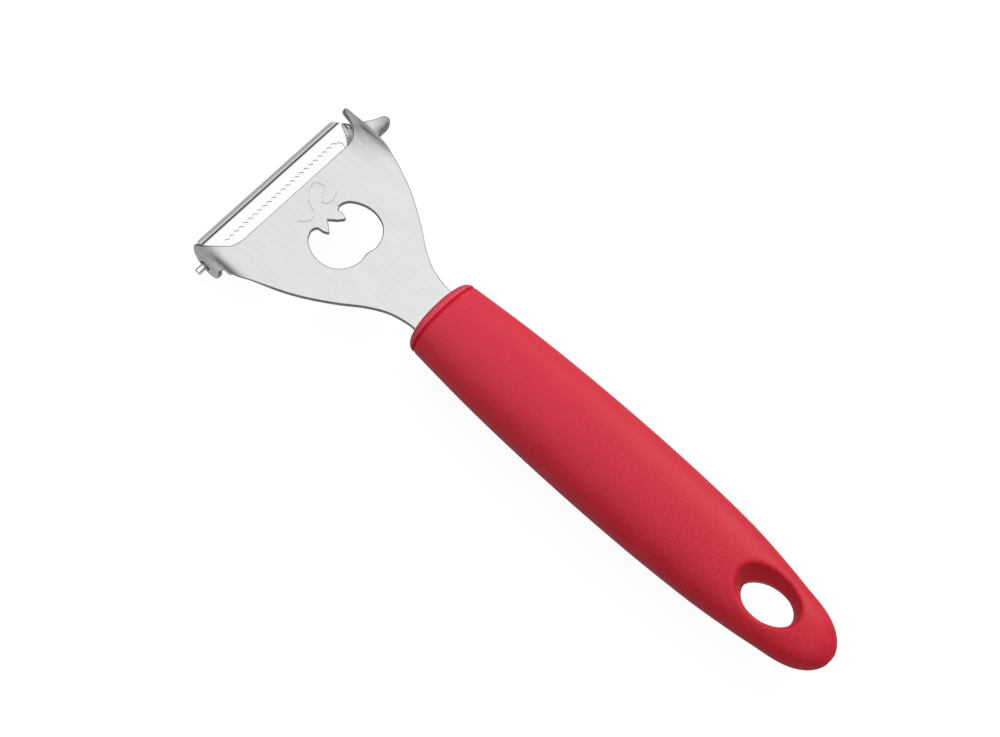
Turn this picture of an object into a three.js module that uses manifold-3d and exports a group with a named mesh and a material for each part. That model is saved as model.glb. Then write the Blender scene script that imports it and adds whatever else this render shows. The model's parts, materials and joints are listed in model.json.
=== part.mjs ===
// Y-shaped fruit and vegetable peeler: a stamped steel head carries a serrated swivel blade between
// its two folded ears, and its tang is locked by a moulded plug into a two-material handle.
// Millimetres. The model is laid out with +X across the blade, +Y from the handle to the blade and +Z up;
// y = 0 is the handle's front face and z = 0 the mid-plane of the flat head. The finished group is
// moved so that the origin is under the middle of the object, on the surface that it lies on.
import * as THREE from "three";
import { mergeVertices } from "three/addons/utils/BufferGeometryUtils.js";
import Module from "manifold-3d";

// ---- driving dimensions ----
const gap = 0.3; // between pieces that seat on each other
const overrun = 1; // how far a cutter runs past the face that it opens
const lap = 0.5; // how far two shapes run into each other where they join

const sheet = 1.2; // thickness of the head's steel
const headFlatHalf = 20; // half width of the flat head, up to the fold of each ear
const foldRadius = 6.4; // of each ear, at the middle of the sheet
const headFront = 48.65; // from the handle to the head's front edge
const headBend = 3; // from the handle to the slight bend, past which the head slopes down
const headSlope = 2.5; // degrees
const neckHalf = 6.65; // half width of the head where it enters the handle
const earAhead = 2.85; // ear's front, ahead of the pivot axis
const earBehind = 5.25; // ear's rear, behind the pivot axis
const earRim = 1.65; // steel below the pivot hole
const hornReach = 1.1; // how far the rounded horn of each ear stands ahead of its front
const notchInset = 3.6; // relief notch behind each ear, in from where the ear is upright

const pivotAhead = 4.8; // pivot axis ahead of the head's front edge
const pivotDrop = 7.1; // pivot axis below the head's mid-plane, square to the tang
const pinRadius = 0.95;
const pinPlay = 0.5; // radial, of a pin in its ear
const pinProud = 1.8; // pin's end, past the ear's outer face
const scoopLength = 6.3; // eye remover, outward from its bend
const scoopBend = 1.3; // its bend radius, at the middle of the sheet
const windowBehind = 17.9; // centre of the fruit window behind the head's front edge

const tangHalf = 5.5;
const tangLength = 58; // inside the handle
const tangShoulder = 0.9; // the head's neck ends here, behind the handle's front face
const tangCorner = 3; // chamfer of the tang's end
const tangHoleRadius = 2.1;
const tangHoles = [12, 24]; // distances behind the handle's front face

const bladeSheet = 0.5;
const bladeHalfWidth = 6.2;
const bladeDepth = 3.2; // of the blade's arched section
const bladeRise = 1.8; // top of the arch above the pivot axis
const bladeEndPlay = 1.2; // between each of its ends and the ear beside it
const bladeTaper = 1; // how much shorter the guard rims are, at each end
const bladeTilt = 12; // degrees, front rim up
const bladeShift = -0.7; // the blade lies towards one side of its end play
const slotEnd = 4.1; // steel left at each end of the slot
const slotFront = 0.45; // base of the cutting edge ahead of the pivot axis
const slotRear = -2.2;
const slotCorner = 0.5;
const tabHalf = 1.4; // half width of the tab that each pin is rolled from
const pinRoot = 1.4; // each pin starts this far inside the blade's end
const pinSeam = 0.35; // half angle of its open seam, in radians
const webHalf = 0.7; // half width of the joggled web between the strip and each pin
const toothPitch = 1.6;
const toothDepth = 0.65;
const toothMargin = 1; // plain edge beyond the last tooth at each end

const handleLength = 125.6;
const collarLength = 2.2; // the plug's visible flange
const grooveWidth = 0.5; // between the collar and the grip
const skin = 1.5; // thickness of the soft grip
const plugWall = 1.6; // beside the tang
const plugHalfHeight = 3.4;
const plugLength = 32;
const edgeRound = 1.4; // of the collar's front edge
const hangHoleFromEnd = 19.5; // its centre
const hangHoleHalfWidth = 4.8;
const hangHoleHalfLength = 7.4;
const hangHoleFlare = 1.8; // rounding of the hole's two rims
const noseLength = 13.6; // the handle's rounded end

// The handle's outer form: share of its length behind the front face, half width, half height.
const handleStations = [
  [0, 10.6, 6.9],
  [0.15, 12.0, 7.9],
  [0.295, 12.7, 8.7],
  [0.445, 12.9, 9.0],
  [0.59, 12.65, 8.6],
  [0.725, 11.85, 7.6],
  [0.82, 10.5, 6.6],
  [0.892, 9.1, 5.9],
  [1, 7.2, 5.0],
];
const handleLift = 0.6; // centre of the handle's section above the head's mid-plane
const tailDroop = 1.5; // how far the handle's end bows down
const droopStart = 0.67; // share of the length where it begins
const sectionPower = 2.3; // 2 is an ellipse; more is fuller
const ringSides = 28;
const closingRing = 0.02; // the last ring's distance from the handle's tip

// ---- what follows from them ----
const pivotY = headFront + pivotAhead;
const earFront = pivotY + earAhead;
const earRear = pivotY - earBehind;
const earInside = headFlatHalf + foldRadius - sheet / 2;
const bladeHalfLength = earInside - bladeEndPlay;
const bladeCornerHalfLength = bladeHalfLength - bladeTaper;
const bladePinReach = earInside + sheet + pinProud;
const bladeRadius = (bladeHalfWidth ** 2 + bladeDepth ** 2) / (2 * bladeDepth);
const slotHalfLength = bladeHalfLength - slotEnd;
const toothCount = Math.floor((2 * (slotHalfLength - toothMargin)) / toothPitch);
const plugHalfWidth = tangHalf + gap + plugWall;
const noseStart = handleLength - noseLength;
const hangHoleDistance = handleLength - hangHoleFromEnd;
const beyond = 3 * Math.max(handleStations[0][1], bladeDepth); // a height that clears every piece

// ---- solids ----
const wasm = await Module();
wasm.setup();

// A closed three.js geometry as a manifold-3d solid.
function solid(geometry) {
  const bare = geometry.index ? geometry.toNonIndexed() : geometry.clone();
  bare.deleteAttribute("normal");
  bare.deleteAttribute("uv");
  const merged = mergeVertices(bare, 1e-4);
  return new wasm.Manifold(
    new wasm.Mesh({
      numProp: 3,
      vertProperties: merged.attributes.position.array,
      triVerts: new Uint32Array(merged.index.array),
    }),
  );
}

function geometryOf(body) {
  const { vertProperties, triVerts } = body.getMesh();
  const geometry = new THREE.BufferGeometry();
  geometry.setAttribute("position", new THREE.BufferAttribute(vertProperties, 3));
  geometry.setIndex(new THREE.BufferAttribute(triVerts, 1));
  geometry.computeVertexNormals();
  return geometry;
}

function part(name, body, material) {
  const mesh = new THREE.Mesh(geometryOf(body), material);
  mesh.name = name;
  return mesh;
}

// A flat outline in x and y, extruded from z = low to z = high.
function slab(shape, low, high) {
  const settings = { depth: high - low, bevelEnabled: false, curveSegments: 24 };
  return new THREE.ExtrudeGeometry(shape, settings).translate(0, 0, low);
}

function shapeOf(points) {
  return new THREE.Shape(points.map(([x, y]) => new THREE.Vector2(x, y)));
}

function smooth(points, divisions) {
  const curve = new THREE.SplineCurve(points.map(([x, y]) => new THREE.Vector2(x, y)));
  return curve.getPoints(divisions).map((p) => [p.x, p.y]);
}

// Cuts every triangle where one coordinate (0 is x, 1 is y) has each station's value, so that a
// sheet can bend there.
function cutAcross(geometry, axis, stations) {
  const position = (geometry.index ? geometry.toNonIndexed() : geometry).attributes.position;
  let triangles = [];
  for (let i = 0; i < position.count; i += 3) {
    const corner = (k) => new THREE.Vector3().fromBufferAttribute(position, i + k);
    triangles.push([corner(0), corner(1), corner(2)]);
  }
  for (const station of stations) {
    triangles = triangles.flatMap((triangle) => splitTriangle(triangle, axis, station));
  }
  return new THREE.BufferGeometry().setFromPoints(triangles.flat());
}

function splitTriangle(corners, axis, station) {
  const [low, high] = [[], []];
  const height = (point) => point.getComponent(axis) - station;
  corners.forEach((from, i) => {
    const to = corners[(i + 1) % 3];
    if (height(from) <= 0) low.push(from);
    if (height(from) >= 0) high.push(from);
    if (height(from) * height(to) < 0) {
      const [under, over] = height(from) < 0 ? [from, to] : [to, from];
      const cut = under.clone().lerp(over, height(under) / (height(under) - height(over)));
      cut.setComponent(axis, station);
      low.push(cut);
      high.push(cut);
    }
  });
  return [low, high].flatMap((polygon) =>
    polygon.slice(2).map((corner, i) => [polygon[0], polygon[i + 1], corner]),
  );
}

// A closed skin over rings of points that all have the same count, each ring a list of [x, y, z].
function loft(rings) {
  const sides = rings[0].length;
  const position = rings.flat(2);
  const index = [];
  for (let r = 0; r + 1 < rings.length; r++) {
    for (let i = 0; i < sides; i++) {
      const [a, b] = [r * sides + i, r * sides + ((i + 1) % sides)];
      index.push(a, b, a + sides, b, b + sides, a + sides);
    }
  }
  for (const [r, flip] of [[0, true], [rings.length - 1, false]]) {
    for (let i = 1; i + 1 < sides; i++) {
      const fan = [r * sides, r * sides + i, r * sides + i + 1];
      index.push(...(flip ? fan.reverse() : fan));
    }
  }
  const geometry = new THREE.BufferGeometry();
  geometry.setAttribute("position", new THREE.Float32BufferAttribute(position, 3));
  geometry.setIndex(index);
  return geometry;
}

// ---- the handle's form ----
const stationCurve = (size) =>
  new THREE.SplineCurve(handleStations.map((row) => new THREE.Vector2(row[0] * handleLength, row[size])));
const halfWidthCurve = stationCurve(1);
const halfHeightCurve = stationCurve(2);

// Reads a station curve at a distance behind the handle's front face.
function readStations(curve, distance) {
  let [low, high] = [0, 1];
  for (let step = 0; step < 24; step++) {
    const middle = (low + high) / 2;
    if (curve.getPoint(middle).x < distance) low = middle;
    else high = middle;
  }
  return curve.getPoint(low).y;
}

// The rounded end, as a share of the full section: 1 up to noseStart and 0 at the tip.
function noseShare(distance, tip) {
  const along = Math.max(0, (distance - noseStart) / (tip - noseStart));
  return Math.sqrt(Math.max(0, 1 - along ** 3));
}

function handleCentre(distance) {
  const along = THREE.MathUtils.smoothstep(distance, handleLength * droopStart, handleLength);
  return handleLift - tailDroop * along;
}

// One ring of the handle, inset all round. round is how much the front edge's rounding takes off.
function handleRing(distance, inset, round = 0) {
  const tip = handleLength - inset;
  const share = noseShare(distance, tip);
  const halfWidth = (readStations(halfWidthCurve, distance) - inset - round) * share;
  const halfHeight = (readStations(halfHeightCurve, distance) - inset - round) * share;
  return superellipse(halfWidth, halfHeight, -distance, handleCentre(distance));
}

function superellipse(halfWidth, halfHeight, y, centre) {
  const ring = [];
  for (let i = 0; i < ringSides; i++) {
    const angle = (2 * Math.PI * i) / ringSides;
    const [c, s] = [Math.cos(angle), Math.sin(angle)];
    const x = halfWidth * Math.sign(c) * Math.abs(c) ** (2 / sectionPower);
    const z = halfHeight * Math.sign(s) * Math.abs(s) ** (2 / sectionPower);
    ring.push([x, y, centre + z]);
  }
  return ring;
}

// Distances from one end of a loft to the other: even steps, then closer together over the nose.
function distances(from, inset) {
  const list = [];
  const bodySteps = 10;
  for (let i = 0; i < bodySteps; i++) list.push(from + ((noseStart - from) * i) / bodySteps);
  const tip = handleLength - inset;
  const noseSteps = 5;
  for (let i = 0; i < noseSteps; i++) {
    list.push(noseStart + (tip - noseStart) * Math.sin((Math.PI / 2) * (i / noseSteps)));
  }
  list.push(tip - closingRing);
  return list;
}

function handleBody(from, inset) {
  return solid(loft(distances(from, inset).map((d) => handleRing(d, inset))));
}

// The hanging hole's cutter: an oval bore that flares into both rims, grown all round.
function hangHole(grow) {
  const rim = readStations(halfHeightCurve, hangHoleDistance) - grow;
  const straight = Math.max(0.5, rim - hangHoleFlare);
  const profile = [[0, -beyond]];
  const steps = 4;
  for (const side of [-1, 1]) {
    const flare = [];
    for (let i = 0; i <= steps; i++) {
      const angle = (Math.PI / 2) * (i / steps);
      flare.push([
        hangHoleHalfWidth + grow + hangHoleFlare * (1 - Math.cos(angle)),
        side * (straight + hangHoleFlare * Math.sin(angle)),
      ]);
    }
    const outer = [hangHoleHalfWidth + grow + hangHoleFlare, side * beyond];
    if (side < 0) profile.push(outer, ...flare.reverse());
    else profile.push(...flare, outer);
  }
  profile.push([0, beyond]);
  const lathe = new THREE.LatheGeometry(profile.map(([r, z]) => new THREE.Vector2(r, z)), 26);
  lathe.rotateX(Math.PI / 2);
  lathe.scale(1, (hangHoleHalfLength + grow) / (hangHoleHalfWidth + grow), 1);
  lathe.translate(0, -hangHoleDistance, handleCentre(hangHoleDistance));
  return solid(lathe);
}

function gripSleeve() {
  const front = collarLength + grooveWidth;
  const outer = handleBody(front, 0);
  const inner = handleBody(front - overrun, skin);
  const lining = inner.subtract(hangHole(skin));
  return outer.subtract(lining).subtract(hangHole(0));
}

function handleCore() {
  const front = collarLength + gap;
  const body = handleBody(front, skin + gap).subtract(hangHole(skin + gap));
  return body.subtract(plugBody(front - overrun, plugLength + gap, gap)).subtract(tangBody(gap));
}

// The plug's shank, between two distances behind the handle's front face, grown all round.
function plugBody(from, to, grow) {
  const rings = [from, to].map((d) =>
    superellipse(plugHalfWidth + grow, plugHalfHeight + grow, -d, handleLift / 2),
  );
  return solid(loft(rings));
}

// The plug is moulded round the tang and through its holes, and its flange is the handle's front collar.
function tangPlug() {
  const rings = [];
  const roundSteps = 4;
  for (let i = 0; i <= roundSteps; i++) {
    const angle = (Math.PI / 2) * (i / roundSteps);
    rings.push(handleRing(edgeRound * (1 - Math.cos(angle)), 0, edgeRound * (1 - Math.sin(angle))));
  }
  rings.push(handleRing(collarLength, 0));
  const collar = solid(loft(rings));
  return collar.add(plugBody(collarLength - lap, plugLength, 0)).subtract(tangBody(gap));
}

// ---- the head ----
// The blank's tang, from its shoulders in the collar to its rounded end.
function tangOutline(grow) {
  return {
    shoulder: -tangShoulder - grow,
    half: tangHalf + grow,
    wide: neckHalf + grow,
    end: -tangLength - grow,
    corner: tangCorner,
  };
}

function tangBody(grow) {
  const { shoulder, half, wide, end, corner } = tangOutline(grow);
  const shape = shapeOf([
    [wide, overrun], [-wide, overrun], [-wide, shoulder], [-half, shoulder],
    [-half, end + corner], [-half + corner, end], [half - corner, end], [half, end + corner],
    [half, shoulder], [wide, shoulder],
  ]);
  for (const distance of tangHoles) {
    shape.holes.push(new THREE.Path().absarc(0, -distance, tangHoleRadius - grow, 0, 2 * Math.PI, true));
  }
  return solid(slab(shape, -sheet / 2 - grow, sheet / 2 + grow));
}

// Lengths along the blank, from its centre line: where the ear is upright, and where its scoop bends out.
const earUpright = headFlatHalf + (foldRadius * Math.PI) / 2;
const pivotAlong = earUpright + pivotDrop - foldRadius;
const earTip = pivotAlong + pinRadius + pinPlay + earRim;
const scoopStart = pivotAlong + pinRadius + pinPlay;
const scoopFlat = scoopStart + (scoopBend * Math.PI) / 2;

// A half width between the neck's and the flat head's.
function neckToFlat(share) {
  return neckHalf + (headFlatHalf - neckHalf) * share;
}

// One edge of the blank from the handle to the middle of its front edge, in length along the blank and y.
function flank(withScoop) {
  const side = smooth([
    [neckHalf, 0], [neckHalf + 0.1, headFront * 0.072], [neckToFlat(0.094), headFront * 0.179],
    [neckToFlat(0.288), headFront * 0.284], [neckToFlat(0.558), headFront * 0.388],
    [neckToFlat(0.79), headFront * 0.489], [headFlatHalf - 0.1, headFront * 0.59],
    [headFlatHalf + 2.1, headFront * 0.695], [headFlatHalf + 4.1, headFront * 0.81],
    [headFlatHalf + 5.4, headFront * 0.88], [earUpright - notchInset, earRear - 2],
  ], 20);
  const relief = [
    [earUpright - notchInset + 0.7, earRear - 0.9],
    [earUpright - notchInset + 1.3, earRear - 0.6],
    [earUpright - notchInset + 1.8, earRear - 0.1],
  ];
  const lobe = withScoop
    ? smooth([
        [earUpright + 1, earRear + 0.1], [scoopFlat, earRear + 0.5],
        [scoopFlat + scoopLength * 0.6, earRear + 0.4], [scoopFlat + scoopLength * 0.93, earRear + 1.4],
        [scoopFlat + scoopLength, pivotY - 2.7], [scoopFlat + scoopLength * 0.93, pivotY - 1.4],
        [scoopFlat + scoopLength * 0.6, pivotY - 0.3], [scoopFlat, pivotY + 1.7],
        [scoopStart - 0.8, earFront],
      ], 24)
    : smooth([
        [earUpright + 1, earRear + 0.1], [earTip - 1.6, earRear + 1.0], [earTip - 0.1, earRear + 2.8],
        [earTip - 0.3, pivotY - 0.3], [earTip - 1.8, pivotY + 1.9], [earTip - 3.2, earFront],
      ], 18);
  const horn = smooth([
    [earUpright - 1.2, earFront + hornReach * 0.8], [earUpright - 2.4, earFront + hornReach],
    [earUpright - 3.6, earFront + hornReach * 0.6], [earUpright - 4.3, earFront - 0.1],
  ], 6);
  const throat = smooth([
    [earUpright - 4.6, earFront - 0.6], [headFlatHalf + 3.5, pivotY - 0.7],
    [headFlatHalf + 1.3, headFront + 1.2],
    [headFlatHalf - 1.5, headFront + 0.1], [headFlatHalf - 4.5, headFront],
  ], 14);
  return [...side, ...relief, ...lobe, ...horn, ...throat];
}

// The fruit-shaped window: a round body with a dimple below, and two leaf points above.
function fruitWindow() {
  const right = smooth([
    [0.15, -6.75], [2.8, -7.35], [6, -6.25], [8.4, -3.75], [9.35, -0.15], [8.9, 3.25], [7.4, 6.15],
    [5.7, 7.25],
  ], 20);
  const leaves = [
    [3.8, 6.75], [3.9, 5.05], [3.2, 3.65], [1.6, 4.75], [0.1, 6.65], [-1, 5.15], [-2.2, 3.85],
    [-3, 5.05], [-3.2, 6.85],
  ];
  const left = smooth([
    [-4.9, 7.45], [-7, 6.25], [-8.8, 3.25], [-9.35, -0.35], [-8.4, -3.75], [-5.9, -6.25], [-2.6, -7.25],
    [0.15, -6.75],
  ], 20);
  const centre = headFront - windowBehind;
  return [...right, ...leaves, ...left.slice(0, -1)].map(([x, y]) => [x, centre + y]);
}

// Folds a point of the flat blank: along the blank, then z across the sheet, to x and z on the finished head.
function fold(along, across) {
  const side = Math.sign(along);
  const length = Math.abs(along);
  if (length <= headFlatHalf) return [along, across];
  const folded = Math.min(length, earUpright) - headFlatHalf;
  const angle = folded / foldRadius;
  let x = headFlatHalf + (foldRadius + across) * Math.sin(angle);
  let z = -foldRadius + (foldRadius + across) * Math.cos(angle);
  if (length > earUpright) {
    const bendFrom = side > 0 ? scoopStart : Infinity;
    z -= Math.min(length, bendFrom) - earUpright;
    if (length > bendFrom) {
      const turn = Math.min(length - bendFrom, scoopFlat - scoopStart) / scoopBend;
      x += (scoopBend - across) * (1 - Math.cos(turn));
      z -= (scoopBend - across) * Math.sin(turn);
      x += Math.max(0, length - scoopFlat);
    }
  }
  return [side * x, z];
}

// Where the blank needs edges so that it can bend: across both ears' folds and the scoop's bend.
function bendStations() {
  const stations = [];
  const foldSteps = 8;
  for (let i = 0; i <= foldSteps; i++) {
    const along = headFlatHalf + ((earUpright - headFlatHalf) * i) / foldSteps;
    stations.push(along, -along);
  }
  const scoopSteps = 4;
  for (let i = 0; i <= scoopSteps; i++) {
    stations.push(scoopStart + ((scoopFlat - scoopStart) * i) / scoopSteps);
  }
  return stations;
}

// How far the sloping head has dropped at y.
function slopeDrop(y) {
  return Math.max(0, y - headBend) * Math.tan(THREE.MathUtils.degToRad(headSlope));
}

function headPlate() {
  const right = flank(true);
  const left = flank(false).map(([x, y]) => [-x, y]);
  const { shoulder, half, end, corner } = tangOutline(0);
  const tang = [
    [-neckHalf, shoulder], [-half, shoulder], [-half, end + corner], [-half + corner, end],
    [half - corner, end], [half, end + corner], [half, shoulder], [neckHalf, shoulder],
  ];
  const shape = shapeOf([...right, ...left.reverse(), ...tang]);
  shape.holes.push(new THREE.Path(fruitWindow().map(([x, y]) => new THREE.Vector2(x, y))));
  for (const distance of tangHoles) {
    shape.holes.push(new THREE.Path().absarc(0, -distance, tangHoleRadius, 0, 2 * Math.PI, true));
  }
  const blank = cutAcross(slab(shape, -sheet / 2, sheet / 2), 1, [headBend]);
  const sheetMetal = cutAcross(blank, 0, bendStations());
  const position = sheetMetal.attributes.position;
  for (let i = 0; i < position.count; i++) {
    const [x, z] = fold(position.getX(i), position.getZ(i));
    position.setXYZ(i, x, position.getY(i), z - slopeDrop(position.getY(i)));
  }
  return solid(sheetMetal).subtract(pinHoles());
}

const pivotHeight = -pivotDrop - slopeDrop(pivotY);

function pinHoles() {
  const bar = new THREE.CylinderGeometry(pinRadius + pinPlay, pinRadius + pinPlay, 3 * bladePinReach, 24);
  bar.rotateZ(Math.PI / 2);
  bar.translate(0, pivotY, pivotHeight);
  return solid(bar);
}

// ---- the blade ----
// The arched strip's section in y and z about the pivot axis, swept along x.
function bladeArch() {
  const half = Math.asin(bladeHalfWidth / bladeRadius);
  const centre = bladeRise - bladeRadius;
  const steps = 10;
  const arc = (radius, from, to) =>
    Array.from({ length: steps + 1 }, (_, i) => {
      const angle = from + ((to - from) * i) / steps;
      return [radius * Math.sin(angle), centre + radius * Math.cos(angle)];
    });
  const section = [...arc(bladeRadius, -half, half), ...arc(bladeRadius - bladeSheet, half, -half)];
  const strip = slab(shapeOf(section), -bladeHalfLength, bladeHalfLength);
  return solid(alongX(strip));
}

// Turns a section drawn in x and y and extruded along z into one in y and z along x.
function alongX(geometry) {
  const turn = new THREE.Matrix4().set(0, 0, 1, 0, 1, 0, 0, 0, 0, 1, 0, 0, 0, 0, 0, 1);
  return geometry.applyMatrix4(turn);
}

// The blade seen from above: a strip whose ends swell from the rims' corners to the middle.
function bladePlan() {
  const right = smooth([
    [bladeCornerHalfLength - 1.2, bladeHalfWidth + 1], [bladeCornerHalfLength - 0.3, bladeHalfWidth - 0.9],
    [bladeHalfLength, tabHalf], [bladeHalfLength, -tabHalf],
    [bladeCornerHalfLength - 0.3, -bladeHalfWidth + 0.9],
    [bladeCornerHalfLength - 1.2, -bladeHalfWidth - 1],
  ], 18);
  const left = right.map(([x, y]) => [-x, y]).reverse();
  return solid(slab(shapeOf([...right, ...left]), -beyond, beyond));
}

// The slot that peel passes through, with a scalloped cutting edge along its front side.
function bladeSlot() {
  const teethHalf = (toothPitch * toothCount) / 2;
  const middle = (slotFront + slotRear) / 2;
  const scallopSteps = 3;
  const points = [[-slotHalfLength, middle], [-slotHalfLength + slotCorner, slotFront]];
  for (let tooth = 0; tooth < toothCount; tooth++) {
    const from = -teethHalf + tooth * toothPitch;
    for (let i = 0; i < scallopSteps; i++) {
      const share = i / scallopSteps;
      points.push([from + toothPitch * share, slotFront + toothDepth * Math.sin(Math.PI * share)]);
    }
  }
  points.push([teethHalf, slotFront], [slotHalfLength - slotCorner, slotFront], [slotHalfLength, middle]);
  points.push([slotHalfLength - slotCorner, slotRear], [-slotHalfLength + slotCorner, slotRear]);
  return solid(slab(shapeOf(points.reverse()), -beyond, beyond));
}

// A pin rolled from the blade's end tab: an open tube with its seam below, and the joggle that carries it.
function rolledPin(side) {
  const steps = 12;
  const arc = (radius, from, to) =>
    Array.from({ length: steps + 1 }, (_, i) => {
      const angle = from + ((to - from) * i) / steps;
      return [radius * Math.sin(angle), -radius * Math.cos(angle)];
    });
  const [open, closed] = [pinSeam, 2 * Math.PI - pinSeam];
  const ring = [...arc(pinRadius, open, closed), ...arc(pinRadius - bladeSheet, closed, open)];
  const inner = bladeHalfLength - pinRoot;
  const tube = solid(alongX(slab(shapeOf(ring.reverse()), inner, bladePinReach)));
  const [strip, pin] = [bladeRise - 0.1, pinRadius - 0.05];
  const joggle = shapeOf([
    [inner - 3 * lap, strip], [inner - 3 * lap, strip + 0.1 - bladeSheet],
    [inner + 0.3, strip + 0.1 - bladeSheet], [inner + 1.2, pin + 0.05 - bladeSheet],
    [inner + 4 * lap, pin + 0.05 - bladeSheet], [inner + 4 * lap, pin], [inner + 1.4, pin],
    [inner + lap, strip],
  ]);
  const web = slab(joggle, -webHalf, webHalf).rotateX(Math.PI / 2);
  const whole = tube.add(solid(web));
  return side > 0 ? whole : whole.mirror([1, 0, 0]);
}

function swivelBlade() {
  const strip = bladeArch().intersect(bladePlan()).subtract(bladeSlot());
  return strip.add(rolledPin(1)).add(rolledPin(-1));
}

// ---- materials ----
const brushedSteel = new THREE.MeshStandardMaterial({ color: 0xcfced0, roughness: 0.38, metalness: 1 });
const polishedSteel = new THREE.MeshStandardMaterial({ color: 0xe8e8ea, roughness: 0.12, metalness: 1 });
const softRed = new THREE.MeshStandardMaterial({ color: 0xc41f33, roughness: 0.62, metalness: 0 });
const hardRed = new THREE.MeshStandardMaterial({ color: 0xcb3445, roughness: 0.5, metalness: 0 });

// ---- assembly ----
const blade = part("swivel_blade", swivelBlade(), polishedSteel);
blade.position.set(bladeShift, pivotY, pivotHeight);
blade.rotation.x = THREE.MathUtils.degToRad(bladeTilt);

const peeler = new THREE.Group();
peeler.add(
  part("head_plate", headPlate(), brushedSteel),
  blade,
  part("tang_plug", tangPlug(), hardRed),
  part("handle_core", handleCore(), hardRed),
  part("grip_sleeve", gripSleeve(), softRed),
);

// The origin is under the middle of the object, at its lowest point.
const bounds = new THREE.Box3().setFromObject(peeler, true);
const middle = bounds.getCenter(new THREE.Vector3());
peeler.position.set(-middle.x, -middle.y, -bounds.min.z);

export default peeler;
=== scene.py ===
import json
import math
from itertools import product

import bmesh
import bpy
import numpy as np
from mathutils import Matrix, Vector


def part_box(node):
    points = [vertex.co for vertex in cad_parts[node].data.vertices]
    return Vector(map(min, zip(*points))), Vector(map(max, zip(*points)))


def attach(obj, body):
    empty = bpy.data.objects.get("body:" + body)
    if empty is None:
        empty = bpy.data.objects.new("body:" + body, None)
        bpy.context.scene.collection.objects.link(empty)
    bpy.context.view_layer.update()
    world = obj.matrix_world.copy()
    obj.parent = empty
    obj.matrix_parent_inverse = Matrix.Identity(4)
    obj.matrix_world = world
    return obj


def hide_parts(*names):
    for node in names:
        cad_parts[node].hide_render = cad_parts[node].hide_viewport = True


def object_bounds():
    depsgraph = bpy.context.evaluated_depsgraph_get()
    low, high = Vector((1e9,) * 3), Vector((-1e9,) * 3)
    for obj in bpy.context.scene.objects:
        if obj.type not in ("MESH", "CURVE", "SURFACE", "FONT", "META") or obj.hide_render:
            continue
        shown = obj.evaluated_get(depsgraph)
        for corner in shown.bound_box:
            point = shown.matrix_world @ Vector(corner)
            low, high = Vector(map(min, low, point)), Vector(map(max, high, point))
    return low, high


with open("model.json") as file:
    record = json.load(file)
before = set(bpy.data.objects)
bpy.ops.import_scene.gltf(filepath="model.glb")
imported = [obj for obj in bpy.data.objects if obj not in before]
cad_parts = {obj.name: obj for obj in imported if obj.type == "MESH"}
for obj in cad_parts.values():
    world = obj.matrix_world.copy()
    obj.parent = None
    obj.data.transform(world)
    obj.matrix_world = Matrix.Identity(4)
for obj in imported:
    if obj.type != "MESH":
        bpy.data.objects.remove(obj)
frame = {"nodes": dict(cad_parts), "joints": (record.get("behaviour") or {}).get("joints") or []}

# A Y-shaped swivel peeler. The shapes are worked out in millimetres in the model frame: +X across the
# blade, +Y from the handle to the blade, y = 0 at the handle's front face and z = 0 at the mid-plane of
# the steel tang. to_frame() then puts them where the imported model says.
MM = 0.001
cad_low, cad_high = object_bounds()

# ---- sizes, in millimetres: the model's own, and those of detail that only this scene has ----
GAP = 0.3
SHEET = 1.2
SHEET_EDGE_ROUND = 0.24
HEAD_FLAT_HALF = 20.0
FOLD_FROM = 21.2  # the folds are tighter at their middle than at their ends
FOLD_RADIUS = 5.2
HEAD_FRONT = 48.65
HEAD_BEND = 3.0
HEAD_SLOPE = math.radians(2.5)
NECK_HALF = 6.65
EAR_FRONT = 56.3
EAR_REAR = 48.2
EAR_DEPTH = 5.0  # the straight part of an ear, below its fold
HORN_REACH = 1.1
PIVOT_Y = 53.45
PIVOT_DROP = 7.1
PIN_RADIUS = 0.95
PIN_PLAY = 0.5
SCOOP_LENGTH = 6.2
SCOOP_BEND = 1.3
SCOOP_CUP = 1.3
BOWL_BEHIND = 2.0  # the bowl's middle, behind the pivot
BOWL_HALF_WIDTH = 3.4
BOWL_MIDDLE, BOWL_HALF_LENGTH = 0.45, 0.62  # shares of the scoop's length
TANG_HALF = 5.5
TANG_LENGTH = 58.0
TANG_HOLE_RADIUS = 2.1
TANG_HOLES = (12.0, 24.0)

BLADE_SHEET = 0.5
BLADE_EDGE_ROUND = 0.09
BLADE_HALF_WIDTH = 6.2
BLADE_RISE = 1.8
CROWN_SLOPE = 0.12
RIM_SLOPE = 1.3
RIM_BEND = (2.9, 5.0)  # distances from the middle between which the strip bends down to its rim
BLADE_HALF_LENGTH = 24.6
BLADE_CORNER_HALF_LENGTH = 23.6
BLADE_PIN_REACH = 28.8
BLADE_TILT = math.radians(12)
BLADE_SHIFT = -0.7
RIGHT_TAB = 0.9  # the right end runs this much further towards its ear
PIN_LAP = 0.25  # each pin's tab starts this far inside the strip's end
RIGHT_PIN_SHORTER = 0.5
SLOT_HALF_LENGTH = 20.5
SLOT_FRONT = 0.45
SLOT_REAR = -2.2
TOOTH_PITCH = 1.6
TOOTH_COUNT = 24
TOOTH_DEPTH = 0.65

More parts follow.
